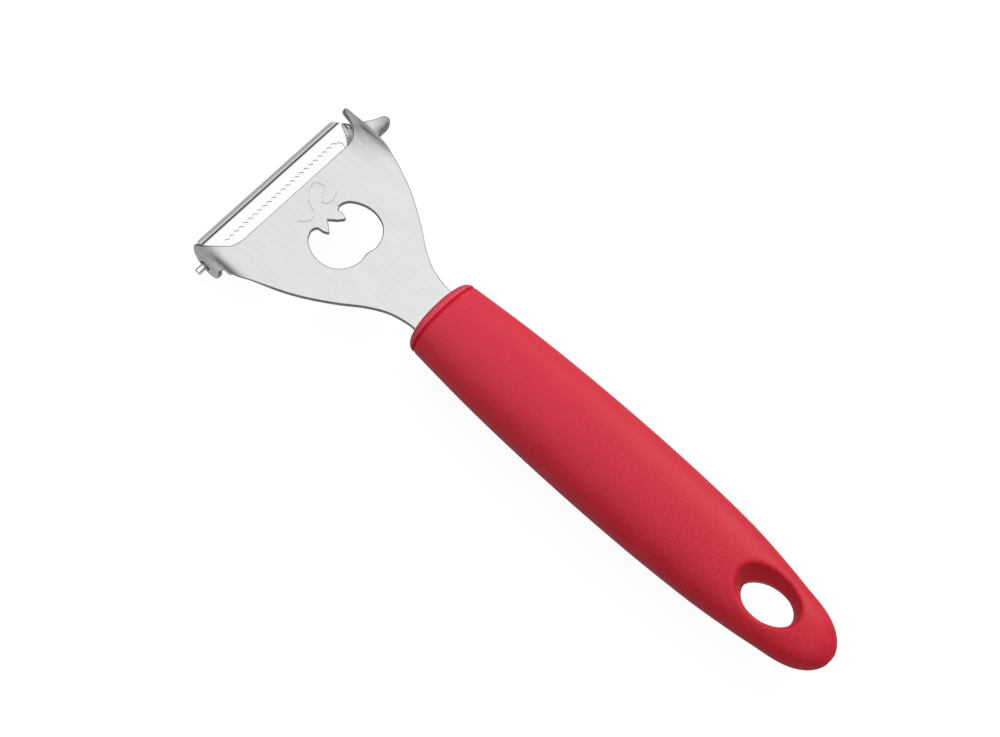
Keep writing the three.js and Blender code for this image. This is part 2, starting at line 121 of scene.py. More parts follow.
HANDLE_LENGTH = 125.6
COLLAR_LENGTH = 2.2
GROOVE_WIDTH = 0.6
GROOVE_DEPTH = 0.25
NECK_RUNS_UNDER = 0.35  # the groove's floor goes this far under the grip's front edge
SKIN = 1.5
PLUG_HALF_WIDTH = 7.4
PLUG_HALF_HEIGHT = 3.4
PLUG_LENGTH = 32.0
HOLE_DISTANCE = 106.1
HOLE_HALF_WIDTH = 4.5
HOLE_HALF_LENGTH = 7.0
HOLE_DRAFT = 0.27  # outward per millimetre from the ridge at mid-depth
HOLE_ROUND = 1.0
KEEP_IN = 0.03  # how far the handle's skin stays inside the model's
HANDLE_STATIONS = (  # distance behind the front face, half width, half height
    (0, 10.6, 6.9), (19, 12.0, 7.9), (37, 12.7, 8.7), (56, 12.9, 9.0), (74, 12.65, 8.6),
    (91, 11.85, 7.6), (103, 10.5, 6.6), (112, 9.1, 5.9), (125.6, 7.2, 5.0),
)
NOSE_START = 112.0
DROOP_START = 0.67  # share of the handle's length
HANDLE_LIFT = 0.6
TAIL_DROOP = 1.5
SECTION_POWER = 2.3

plug_low, plug_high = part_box("tang_plug")
ORIGIN = np.array([
    (plug_low.x + plug_high.x) / 2,
    plug_high.y,
    (plug_low.z + plug_high.z) / 2 - HANDLE_LIFT * MM,
])
PIVOT = np.array(frame["joints"][0]["pos_m"])


def to_frame(points):
    """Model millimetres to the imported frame's metres."""
    return np.asarray(points, float) * MM + ORIGIN


def slope_drop(y):
    return np.maximum(0, y - HEAD_BEND) * math.tan(HEAD_SLOPE)


# ---- curves ----
def catmull(points, divisions):
    """A smooth curve through the points, as the part's own splines run."""
    p = np.asarray(points, float)
    made = []
    for i in range(divisions + 1):
        t = (len(p) - 1) * i / divisions
        k = min(int(t), len(p) - 2)
        w = t - k
        p0, p1, p2 = p[max(k - 1, 0)], p[k], p[k + 1]
        p3 = p[min(k + 2, len(p) - 1)]
        v0, v1 = (p2 - p0) / 2, (p3 - p1) / 2
        made.append(
            (2 * p1 - 2 * p2 + v0 + v1) * w**3 + (3 * p2 - 3 * p1 - 2 * v0 - v1) * w**2 + v0 * w + p1
        )
    return [tuple(q) for q in made]


def circle(x, y, radius, count=48):
    turn = np.arange(count) * 2 * math.pi / count
    return [(x + radius * math.cos(a), y + radius * math.sin(a)) for a in turn]


# ---- mesh helpers ----
def new_object(name, vertices, faces):
    mesh = bpy.data.meshes.new(name)
    mesh.from_pydata([tuple(v) for v in vertices], [], [tuple(f) for f in faces])
    mesh.validate()
    made = bpy.data.objects.new(name, mesh)
    bpy.context.scene.collection.objects.link(made)
    return made


def outward(mesh):
    bm = bmesh.new()
    bm.from_mesh(mesh)
    bmesh.ops.recalc_face_normals(bm, faces=bm.faces)
    bm.to_mesh(mesh)
    bm.free()


def smooth_shade(piece, degrees=40):
    mesh = piece.data
    mesh.polygons.foreach_set("use_smooth", [True] * len(mesh.polygons))
    mesh.set_sharp_from_angle(angle=math.radians(degrees))
    weighted = piece.modifiers.new("weighted", "WEIGHTED_NORMAL")
    weighted.keep_sharp = True
    weighted.weight = 100


def sheet_from_outline(name, outline, holes, thickness, edge_round):
    """A flat sheet with rounded edges, in millimetres, centred on z = 0."""
    curve = bpy.data.curves.new(name, "CURVE")
    curve.dimensions = "2D"
    curve.fill_mode = "BOTH"
    curve.extrude = thickness / 2 - edge_round
    curve.bevel_depth = edge_round
    curve.bevel_resolution = 2
    curve.offset = -edge_round
    for ring in (outline, *holes):
        spline = curve.splines.new("POLY")
        spline.points.add(len(ring) - 1)
        for point, (x, y) in zip(spline.points, ring):
            point.co = (x, y, 0, 1)
        spline.use_cyclic_u = True
    holder = bpy.data.objects.new(name + "_curve", curve)
    bpy.context.scene.collection.objects.link(holder)
    graph = bpy.context.evaluated_depsgraph_get()
    mesh = bpy.data.meshes.new_from_object(holder.evaluated_get(graph), depsgraph=graph)
    bpy.data.objects.remove(holder)
    bpy.data.curves.remove(curve)
    mesh.name = name
    piece = bpy.data.objects.new(name, mesh)
    bpy.context.scene.collection.objects.link(piece)
    mesh.materials.clear()
    return piece


def cut_at(bm, axis, stations):
    normal = Vector((1, 0, 0)) if axis == 0 else Vector((0, 1, 0))
    for station in stations:
        place = normal * station
        geometry = bm.verts[:] + bm.edges[:] + bm.faces[:]
        bmesh.ops.bisect_plane(bm, geom=geometry, dist=1e-6, plane_co=place, plane_no=normal)


def warp(mesh, function):
    """Moves every vertex by function(points) -> points, both in an array of rows."""
    co = np.zeros(len(mesh.vertices) * 3)
    mesh.vertices.foreach_get("co", co)
    mesh.vertices.foreach_set("co", function(co.reshape(-1, 3)).ravel())
    mesh.update()


# ---- implicit shapes ----
def gradient_of(field, x, y, z, step=0.02):
    return np.stack([
        (field(x + step, y, z) - field(x - step, y, z)) / (2 * step),
        (field(x, y + step, z) - field(x, y - step, z)) / (2 * step),
        (field(x, y, z + step) - field(x, y, z - step)) / (2 * step),
    ], -1)


def surface_net(name, field, low, high, step, passes=4):
    """A closed quad mesh of field = 0 inside the box, with its vertices on the true surface."""
    axes = [np.arange(a, b + step, step) for a, b in zip(low, high)]
    x, y, z = np.meshgrid(*axes, indexing="ij")
    inside = field(x, y, z) < 0
    shape = [n - 1 for n in inside.shape]
    count = sum(
        inside[i:i + shape[0], j:j + shape[1], k:k + shape[2]].astype(int)
        for i, j, k in product((0, 1), repeat=3)
    )
    active = (count > 0) & (count < 8)
    number = np.full(shape, -1)
    number[active] = np.arange(active.sum())
    cell = np.argwhere(active)
    points = np.stack([axes[k][cell[:, k]] + step / 2 for k in range(3)], -1)
    for _ in range(passes):
        value = field(*points.T)
        slope = gradient_of(field, *points.T)
        move = (value / np.maximum((slope**2).sum(-1), 1e-3))[:, None] * slope
        length = np.linalg.norm(move, axis=-1, keepdims=True)
        points -= move * np.minimum(1, 0.7 * step / np.maximum(length, 1e-9))
    faces = []
    for axis in range(3):
        b, c = [k for k in range(3) if k != axis]
        here = [slice(1, -1)] * 3
        here[axis] = slice(0, -1)
        there = list(here)
        there[axis] = slice(1, None)
        first, second = inside[tuple(here)], inside[tuple(there)]
        for flip, crossing in ((False, first & ~second), (True, ~first & second)):
            at = np.argwhere(crossing)
            at[:, b] += 1
            at[:, c] += 1
            corners = []
            for db, dc in ((0, 0), (1, 0), (1, 1), (0, 1)):
                place = at.copy()
                place[:, b] -= db
                place[:, c] -= dc
                corners.append(number[tuple(place.T)])
            quads = np.stack(corners, -1)
            if flip != (axis == 1):
                quads = quads[:, ::-1]
            faces.append(quads)
    faces = np.concatenate(faces)
    faces = faces[(faces >= 0).all(-1)]
    return new_object(name, to_frame(points), faces.tolist())


def round_max(a, b, radius):
    """The higher of two fields, with the edge between them rounded."""
    both = np.hypot(np.maximum(a + radius, 0), np.maximum(b + radius, 0)) - radius
    return np.minimum(np.maximum(a, b), -radius) * (np.maximum(a, b) < -radius) + both * (
        np.maximum(a, b) >= -radius
    )


STATION_CURVES = [
    np.array(catmull([(d, sizes[k]) for d, *sizes in HANDLE_STATIONS], 400)) for k in (0, 1)
]


def handle_centre(distance):
    start = HANDLE_LENGTH * DROOP_START
    along = np.clip((distance - start) / (HANDLE_LENGTH - start), 0, 1)
    return HANDLE_LIFT - TAIL_DROOP * along * along * (3 - 2 * along)


def handle_skin(x, y, z):
    """About the distance from the handle's outer form, negative inside."""
    distance = -y
    share = np.sqrt(np.clip(
        1 - np.maximum(0, (distance - NOSE_START) / (HANDLE_LENGTH - NOSE_START)) ** 3, 1e-4, 1
    ))
    a, b = [
        np.interp(distance, curve[:, 0], curve[:, 1]) * share for curve in STATION_CURVES
    ]
    u, v = np.abs(x) / a, np.abs(z - handle_centre(distance)) / b
    n = SECTION_POWER
    radius = (u**n + v**n + 1e-9) ** (1 / n)
    pull_x = (u / radius) ** (n - 1) / a
    pull_z = (v / radius) ** (n - 1) / b
    pull = np.sqrt(pull_x**2 + pull_z**2)
    past = np.maximum(0, distance - HANDLE_LENGTH + 0.3)
    return (radius - 1) / np.maximum(pull, 1e-3) * 0.9 + past * 2 + KEEP_IN


def hanging_hole(x, y, z):
    """About the distance into the hanging hole's bore, negative inside the hole."""
    middle = handle_centre(HOLE_DISTANCE)
    draft = HOLE_DRAFT * np.sqrt((z - middle) ** 2 + 0.04)
    a, b = HOLE_HALF_WIDTH + draft, HOLE_HALF_LENGTH + draft
    u, v = x / a, (y + HOLE_DISTANCE) / b
    radius = np.sqrt(u * u + v * v + 1e-9)
    pull = np.sqrt((u / a) ** 2 + (v / b) ** 2) / radius
    return (radius - 1) / pull


def handle_outside(x, y, z):
    return round_max(handle_skin(x, y, z), -hanging_hole(x, y, z), HOLE_ROUND)


def grip_field(x, y, z):
    front = -(COLLAR_LENGTH + GROOVE_WIDTH)
    outside = handle_outside(x, y, z)
    body = round_max(outside, y - front, 0.15)
    return np.maximum(body, -(outside + SKIN))


def superellipse_field(x, z, half_x, half_z):
    u, v = np.abs(x) / half_x, np.abs(z) / half_z
    n = SECTION_POWER
    radius = (u**n + v**n + 1e-9) ** (1 / n)
    return (radius - 1) * min(half_x, half_z)


def box_field(x, z, half_x, half_z):
    return np.maximum(np.abs(x) - half_x, np.abs(z) - half_z)


def plug_field(x, y, z):
    crown = 0.55 * np.clip(1 - (x / 10.6) ** 2, 0, 1)
    front = y + 0.55 - crown
    skin = handle_skin(x, y, z)
    collar = round_max(round_max(skin, front, 1.3), -COLLAR_LENGTH - y, 0.15)
    neck_end = COLLAR_LENGTH + GROOVE_WIDTH + NECK_RUNS_UNDER
    neck = np.maximum(np.maximum(skin + GROOVE_DEPTH, y + COLLAR_LENGTH - 0.5), -neck_end - y)
    collar = np.minimum(collar, neck)
    shank = superellipse_field(x, z - HANDLE_LIFT / 2, PLUG_HALF_WIDTH, PLUG_HALF_HEIGHT)
    shank = np.maximum(np.maximum(shank, -PLUG_LENGTH - y), y + COLLAR_LENGTH - 0.5)
    wide = np.where(y > -COLLAR_LENGTH + 1 - GAP, NECK_HALF + GAP, TANG_HALF + GAP)
    slot = box_field(x, z, wide, SHEET / 2 + GAP)
    return round_max(np.minimum(collar, shank), -slot, 0.25)


# ---- steel head ----
HEAD_WALL_LIMIT = 0.975  # see side_walls()
COINED, INNER = 2, 3  # the head's material slots, after its face and its sheared edge
FACE_TOLERANCE = 1e-4
RELIEF_REACH = 2.2  # how far behind the ears' rear edge their inner faces' brighter steel, painted light, reaches


def eased(t):
    t = np.clip(t, 0, 1)
    return t * t * (3 - 2 * t)


FOLD_SHARE = np.linspace(0, 1, 201)
FOLD_TURN = math.pi / 2 * eased(FOLD_SHARE)
FOLD_OUT = np.concatenate([[0], np.cumsum((np.cos(FOLD_TURN[1:]) + np.cos(FOLD_TURN[:-1])) / 2)]) / 200
FOLD_DOWN = np.concatenate([[0], np.cumsum((np.sin(FOLD_TURN[1:]) + np.sin(FOLD_TURN[:-1])) / 2)]) / 200
FOLD_LENGTH = FOLD_RADIUS / FOLD_OUT[-1]
EAR_UPRIGHT = FOLD_FROM + FOLD_LENGTH
EAR_TIP = EAR_UPRIGHT + EAR_DEPTH
PIVOT_ALONG = EAR_UPRIGHT + PIVOT_DROP - FOLD_RADIUS
SCOOP_START = PIVOT_ALONG + PIN_RADIUS + PIN_PLAY
SCOOP_FLAT = SCOOP_START + SCOOP_BEND * math.pi / 2


def flank(with_scoop):
    """One edge of the blank, from the handle to the middle of its front edge."""
    side = catmull([
        (NECK_HALF, 0), (NECK_HALF + 0.1, 3.5), (7.9, 8.7), (10.5, 13.8), (14.1, 18.9), (17.2, 23.8),
        (HEAD_FLAT_HALF - 0.1, 28.7), (HEAD_FLAT_HALF + 2.1, 33.8), (HEAD_FLAT_HALF + 4.1, 39.4),
        (HEAD_FLAT_HALF + 5.4, 42.8), (EAR_UPRIGHT - 3.6, EAR_REAR - 2),
    ], 70)
    relief = catmull([
        (EAR_UPRIGHT - 3.2, EAR_REAR - 1.3), (EAR_UPRIGHT - 2.9, EAR_REAR - 0.9),
        (EAR_UPRIGHT - 2.3, EAR_REAR - 0.6), (EAR_UPRIGHT - 1.8, EAR_REAR - 0.1),
    ], 8)
    if with_scoop:
        lobe = catmull([
            (EAR_UPRIGHT + 1, EAR_REAR + 0.1), (SCOOP_FLAT, EAR_REAR + 0.4),
            (SCOOP_FLAT + SCOOP_LENGTH * 0.6, EAR_REAR + 0.3),
            (SCOOP_FLAT + SCOOP_LENGTH * 0.92, EAR_REAR + 1.2),
            (SCOOP_FLAT + SCOOP_LENGTH, PIVOT_Y - 2.8),
            (SCOOP_FLAT + SCOOP_LENGTH * 0.92, PIVOT_Y - 1.5),
            (SCOOP_FLAT + SCOOP_LENGTH * 0.6, PIVOT_Y - 0.4),
            (SCOOP_FLAT, PIVOT_Y + 1.6), (SCOOP_START - 0.8, EAR_FRONT),
        ], 80)
    else:
        lobe = catmull([
            (EAR_UPRIGHT + 1, EAR_REAR + 0.1), (EAR_TIP - 1.6, EAR_REAR + 1.0),
            (EAR_TIP - 0.1, EAR_REAR + 2.8), (EAR_TIP - 0.3, PIVOT_Y - 0.3),
            (EAR_TIP - 1.8, PIVOT_Y + 1.9), (EAR_TIP - 3.2, EAR_FRONT),
        ], 56)
    inset = 1.4 if with_scoop else 0  # the scoop side's horn is the broader one
    horn = catmull([
        (EAR_UPRIGHT - 0.9, EAR_FRONT + HORN_REACH * 0.6),
        (EAR_UPRIGHT - 2.2 - inset / 3, EAR_FRONT + HORN_REACH * 0.9),
        (EAR_UPRIGHT - 3.2 - inset * 0.8, EAR_FRONT + HORN_REACH * 0.9),
        (EAR_UPRIGHT - 3.9 - inset, EAR_FRONT + 0.3),
    ], 20)
    throat = catmull([
        (EAR_UPRIGHT - 4.2 - inset, EAR_FRONT - 0.6),
        (HEAD_FLAT_HALF + 3.6 - inset / 4, PIVOT_Y - 0.7),
        (HEAD_FLAT_HALF + 1.3, HEAD_FRONT + 1.2), (HEAD_FLAT_HALF - 1.5, HEAD_FRONT + 0.1),
        (HEAD_FLAT_HALF - 4.5, HEAD_FRONT),
    ], 40)
    return side + relief + lobe + horn + throat


def fruit_window():
    """A round fruit with a dimple below, and two leaf points that reach in from above."""
    right = catmull([
        (0.15, 24.0), (2.8, 23.4), (6.0, 24.5), (8.4, 27.0), (9.35, 30.6), (8.9, 34.0), (7.4, 36.9),
        (5.7, 38.0),
    ], 60)
    leaves = [
        (4.7, 38.05), (3.8, 37.5), (3.9, 36.4), (3.85, 35.5), (3.5, 34.6), (3.2, 34.4), (2.8, 34.5),
        (1.6, 35.5), (0.1, 37.4), (-1.0, 35.9), (-1.9, 34.85), (-2.2, 34.6), (-2.5, 34.8),
        (-3.0, 35.8), (-3.2, 37.6), (-4.0, 38.1),
    ]
    left = catmull([
        (-4.9, 38.2), (-7.0, 37.0), (-8.8, 34.0), (-9.35, 30.4), (-8.4, 27.0), (-5.9, 24.5),
        (-2.6, 23.5), (0.15, 24.0),
    ], 60)
    return right + leaves + left[:-1]


def fold_blank(p):
    """Folds the flat blank: both ears down, the scoop out and cupped, and the head sloped."""
    side = np.where(p[:, 0] < 0, -1.0, 1.0)
    length, across = np.abs(p[:, 0]), p[:, 2]
    folded = np.clip((length - FOLD_FROM) / FOLD_LENGTH, 0, 1)
    angle = math.pi / 2 * eased(folded)
    x = np.minimum(length, FOLD_FROM) + FOLD_LENGTH * np.interp(folded, FOLD_SHARE, FOLD_OUT)
    z = -FOLD_LENGTH * np.interp(folded, FOLD_SHARE, FOLD_DOWN)
    x += across * np.sin(angle)
    z += across * np.cos(angle)
    scooped = (side > 0) & (length > SCOOP_START)
    z -= np.maximum(0, np.where(scooped, SCOOP_START, length) - EAR_UPRIGHT)
    turn = np.where(scooped, np.clip(length - SCOOP_START, 0, SCOOP_FLAT - SCOOP_START), 0) / SCOOP_BEND
    x += (SCOOP_BEND - across) * (1 - np.cos(turn))
    z -= (SCOOP_BEND - across) * np.sin(turn)
    beyond = np.where(scooped, np.maximum(0, length - SCOOP_FLAT), 0)
    x += beyond
    over = (p[:, 1] - PIVOT_Y + BOWL_BEHIND) / BOWL_HALF_WIDTH
    along = (beyond - SCOOP_LENGTH * BOWL_MIDDLE) / (SCOOP_LENGTH * BOWL_HALF_LENGTH)
    bowl = 1 - over**2 - along**2
    z += np.where(beyond > 0, SCOOP_CUP * (1 - np.clip(bowl, 0, 1)) * np.clip(beyond / 2, 0, 1), 0)
    return np.stack([side * x, p[:, 1], z - slope_drop(p[:, 1])], -1)


STEM_BEHIND = 39.3  # the coined line lies ahead of this, clear of the window
STEM_HALF_SPREAD = 9
STEM_WIDTH, STEM_DEPTH = 0.26, 0.08
STEM_DEPTH_LIMIT = 0.1  # the line's bottom lies no deeper than this
STEM_LINE = [
    (-5.2, 42.5), (-3.9, 40.9), (-2.2, 40.3), (-1.0, 41.3), (-0.1, 43.1), (0.6, 44.8), (2.3, 46.2),
    (4.3, 47.1), (5.4, 47.0), (5.8, 46.0), (6.1, 44.6), (5.0, 43.8), (3.0, 42.3), (2.7, 41.2),
    (3.5, 40.5), (5.1, 40.4), (6.9, 41.2),
]


def coin_line(piece, points, width, depth):
    """Presses a thin round-bottomed line into the sheet's upper face."""
    curve = bpy.data.curves.new("coin", "CURVE")
    curve.dimensions = "3D"
    curve.bevel_depth = width / 2
    curve.bevel_resolution = 3
    curve.use_fill_caps = True
    run = catmull(points, 90)
    spline = curve.splines.new("POLY")
    spline.points.add(len(run) - 1)
    for point, (x, y) in zip(spline.points, run):
        point.co = (x, y, SHEET / 2 + width / 2 - depth, 1)
    tool = bpy.data.objects.new("coin", curve)
    bpy.context.scene.collection.objects.link(tool)
    graph = bpy.context.evaluated_depsgraph_get()
    mesh = bpy.data.meshes.new_from_object(tool.evaluated_get(graph), depsgraph=graph)
    bpy.data.objects.remove(tool)
    cutter = bpy.data.objects.new("coin_cutter", mesh)
    bpy.context.scene.collection.objects.link(cutter)
    cut = piece.modifiers.new("coin", "BOOLEAN")
    cut.operation = "DIFFERENCE"
    cut.solver = "EXACT"
    cut.object = cutter
    graph = bpy.context.evaluated_depsgraph_get()
    made = bpy.data.meshes.new_from_object(piece.evaluated_get(graph), depsgraph=graph)
    piece.modifiers.clear()
    piece.data = made
    bpy.data.objects.remove(cutter)


def make_head():
    right = flank(True)
    left = [(-x, y) for x, y in flank(False)]
    shoulder, end, corner = -COLLAR_LENGTH + 1, -TANG_LENGTH, 3
    tang = [
        (-NECK_HALF, shoulder), (-TANG_HALF, shoulder), (-TANG_HALF, end + corner),
        (-TANG_HALF + corner, end), (TANG_HALF - corner, end), (TANG_HALF, end + corner),
        (TANG_HALF, shoulder), (NECK_HALF, shoulder),
    ]
    holes = [fruit_window()]
    holes += [circle(0, -d, TANG_HOLE_RADIUS) for d in TANG_HOLES]
    holes += [circle(side * PIVOT_ALONG, PIVOT_Y, PIN_RADIUS + PIN_PLAY) for side in (-1, 1)]
    piece = sheet_from_outline("steel_head", right + left[::-1] + tang, holes, SHEET, SHEET_EDGE_ROUND)
    bm = bmesh.new()
    bm.from_mesh(piece.data)
    bmesh.ops.remove_doubles(bm, verts=bm.verts, dist=2e-3)
    folds = [FOLD_FROM + FOLD_LENGTH * i / 22 for i in range(23)]
    scoop = [SCOOP_START + (SCOOP_FLAT - SCOOP_START) * i / 6 for i in range(7)]
    cup = [SCOOP_FLAT + SCOOP_LENGTH * i / 8 for i in range(1, 8)]
    cut_at(bm, 1, [HEAD_BEND, 20, 40, 46, *[EAR_REAR + 0.8 * i for i in range(10)]])
    cut_at(bm, 0, [-v for v in folds] + folds + scoop + cup + [-12, 12, -EAR_TIP + 1])
    bm.to_mesh(piece.data)
    bm.free()
    coin_line(piece, STEM_LINE, STEM_WIDTH, STEM_DEPTH)
    kinds = [int(w) for w in side_walls(piece.data, HEAD_WALL_LIMIT)]
    for index, face in enumerate(piece.data.polygons):
        x, y, z = face.center
        if z < -SHEET / 2 + FACE_TOLERANCE and abs(x) > HEAD_FLAT_HALF and y > EAR_REAR - RELIEF_REACH:
            kinds[index] = INNER
        in_line = SHEET / 2 - STEM_DEPTH_LIMIT < z < SHEET / 2 - FACE_TOLERANCE
        if in_line and y > STEM_BEHIND and abs(x) < STEM_HALF_SPREAD:
            kinds[index] = COINED
    warp(piece.data, fold_blank)
    warp(piece.data, to_frame)
    outward(piece.data)
    smooth_shade(piece, 38)
    return piece, kinds


# ---- blade ----
BLADE_WALL_LIMIT = 0.5
RIM = 2  # the blade's material slot, after its face and its sheared edge
LIFTED, LIFTED_ABOVE = 1000.0, 500  # the pins are held this high until the strip is shaped


def blade_slope(y):
    """How steeply the strip falls: a gentle crown, a bend, then a straight guard rim."""
    bend = eased((y - RIM_BEND[0]) / (RIM_BEND[1] - RIM_BEND[0]))
    return CROWN_SLOPE * y / BLADE_HALF_WIDTH + RIM_SLOPE * bend


BLADE_ACROSS = np.linspace(0, BLADE_HALF_WIDTH, 300)
BLADE_FALL = np.concatenate([[0], np.cumsum(
    (blade_slope(BLADE_ACROSS[1:]) + blade_slope(BLADE_ACROSS[:-1])) / 2 * np.diff(BLADE_ACROSS)
)])


def blade_surface(x, y, across):
    z = BLADE_RISE - BLADE_SHEET / 2 - np.interp(np.abs(y), BLADE_ACROSS, BLADE_FALL)
    steep = -blade_slope(np.abs(y)) * np.sign(y)
    length = np.sqrt(1 + steep**2)
    return np.stack([x, y - across * steep / length, z + across / length], -1)


def blade_to_frame(p):
    c, s = math.cos(BLADE_TILT), math.sin(BLADE_TILT)
    x = p[:, 0] + BLADE_SHIFT
    y = p[:, 1] * c - p[:, 2] * s
    z = p[:, 1] * s + p[:, 2] * c
    return np.stack([x, y, z], -1) * MM + PIVOT


def blade_outline():
    """Seen from above: rounded rim corners, and ends that draw in to the pins' tabs."""
    half, corner = BLADE_HALF_WIDTH - 0.3, BLADE_CORNER_HALF_LENGTH
    shoulder = [
        (corner - 1.4, half), (corner - 0.6, half - 0.12), (corner - 0.1, half - 0.7),
        (corner + 0.25, half - 2.0),
    ]
    sides = []
    for reach in (RIGHT_TAB, 0):
        tip = BLADE_HALF_LENGTH + reach
        end = catmull([*shoulder, (tip - 0.1 - reach / 3, 2.4), (tip, 1.4)], 36)
        sides.append(end + [(x, -y) for x, y in end[::-1]])
    right, left = sides
    return right + [(-x, y) for x, y in left[::-1]]


def blade_slot():
    """The peel's slot, with the scalloped cutting edge along its front side."""
    teeth_half = TOOTH_PITCH * TOOTH_COUNT / 2
    middle = (SLOT_FRONT + SLOT_REAR) / 2
    radius = (SLOT_FRONT - SLOT_REAR) / 2
    centre = SLOT_HALF_LENGTH - radius
    turns = [math.pi / 2 - math.pi * i / 14 for i in range(15)]
    right = [(centre + radius * math.cos(t), middle + radius * math.sin(t)) for t in turns]
    left = [(-x, y) for x, y in right[::-1]]
    scallops = []
    steps = 10
    for tooth in range(TOOTH_COUNT):
        for i in range(steps):
            share = i / steps
            x = -teeth_half + (tooth + share) * TOOTH_PITCH
            scallops.append((x, SLOT_FRONT + TOOTH_DEPTH * math.sin(math.pi * share) ** 0.8))
    return left + scallops + [(teeth_half, SLOT_FRONT)] + right


def pin_sheet(side):
    """A pin rolled from the end tab: the tab's section closes from the strip's arch to a split tube."""
    half = 2.35
    radius = PIN_RADIUS - BLADE_SHEET / 2
    rows, columns = 26, 33
    closed = math.pi * 0.93  # half the turn of the rolled tube, which stays a little open
    inner = BLADE_HALF_LENGTH - PIN_LAP + (RIGHT_TAB if side > 0 else 0)
    curl = 1.5
    reach = BLADE_PIN_REACH - (RIGHT_PIN_SHORTER if side > 0 else 0)
    vertices, faces = [], []
    xs = [inner + (reach - inner) * i / (rows - 1) for i in range(rows)]
    for layer in (1, -1):
        for x in xs:
            t = min(1.0, (x - inner) / curl)
            t = t * t * (3 - 2 * t)
            bend = (1 - t) * 0.04 + t / radius
            width = half * (0.62 + 0.38 * min(1, (x - inner) / curl)) if t < 1 else half
            width = min(width, closed * radius) if t >= 1 else width
            top = (1 - t) * (BLADE_RISE - BLADE_SHEET / 2) + t * radius
            for j in range(columns):
                s = width * (2 * j / (columns - 1) - 1)
                s = s if t >= 1 else s * (1 - 0.12 * t)
                turn = max(-closed, min(closed, s * bend))
                r = 1 / bend + layer * BLADE_SHEET / 2 * 0.96
                vertices.append((side * x, r * math.sin(turn), top - 1 / bend + r * math.cos(turn)))
    size = rows * columns

    def at(layer, i, j):
        return layer * size + i * columns + j

    for i in range(rows - 1):
        for j in range(columns - 1):
            faces.append((at(0, i, j), at(0, i, j + 1), at(0, i + 1, j + 1), at(0, i + 1, j)))
            faces.append((at(1, i, j), at(1, i + 1, j), at(1, i + 1, j + 1), at(1, i, j + 1)))
    for i in range(rows - 1):
        for j in (0, columns - 1):
            faces.append((at(0, i, j), at(0, i + 1, j), at(1, i + 1, j), at(1, i, j)))
    for j in range(columns - 1):
        for i in (0, rows - 1):
            faces.append((at(0, i, j), at(1, i, j), at(1, i, j + 1), at(0, i, j + 1)))
    return vertices, faces


def make_blade():
    piece = sheet_from_outline(
        "peeling_blade", blade_outline(), [blade_slot()], BLADE_SHEET, BLADE_EDGE_ROUND
    )
    bm = bmesh.new()
    bm.from_mesh(piece.data)
    bmesh.ops.remove_doubles(bm, verts=bm.verts, dist=1e-3)
    rims = [RIM_BEND[0] + (RIM_BEND[1] - RIM_BEND[0]) * i / 14 for i in range(15)] + [5.2]
    cut_at(bm, 1, rims + [-v for v in rims] + [-2.6, 1.5, 2.2])
    cut_at(bm, 0, [-20, -10, 0, 10, 20])
    for side in (-1, 1):
        vertices, faces = pin_sheet(side)
        made = [bm.verts.new((x, y, LIFTED + z)) for x, y, z in vertices]
        for f in faces:
            bm.faces.new([made[i] for i in f])
    bm.to_mesh(piece.data)
    bm.free()

    def shape(p):
        strip = p[:, 2] < LIFTED_ABOVE
        rolled = p - np.array([0, 0, LIFTED])
        return np.where(strip[:, None], blade_surface(p[:, 0], p[:, 1], p[:, 2]), rolled)

    kinds = [int(w) for w in side_walls(piece.data, BLADE_WALL_LIMIT)]
    for index, face in enumerate(piece.data.polygons):
        if face.center.z > LIFTED_ABOVE:
            kinds[index] = 0
        elif not kinds[index] and abs(face.center.y) > RIM_BEND[1] - 0.25:
            kinds[index] = RIM
    warp(piece.data, shape)
    warp(piece.data, blade_to_frame)
    outward(piece.data)
    smooth_shade(piece, 38)
    return piece, kinds


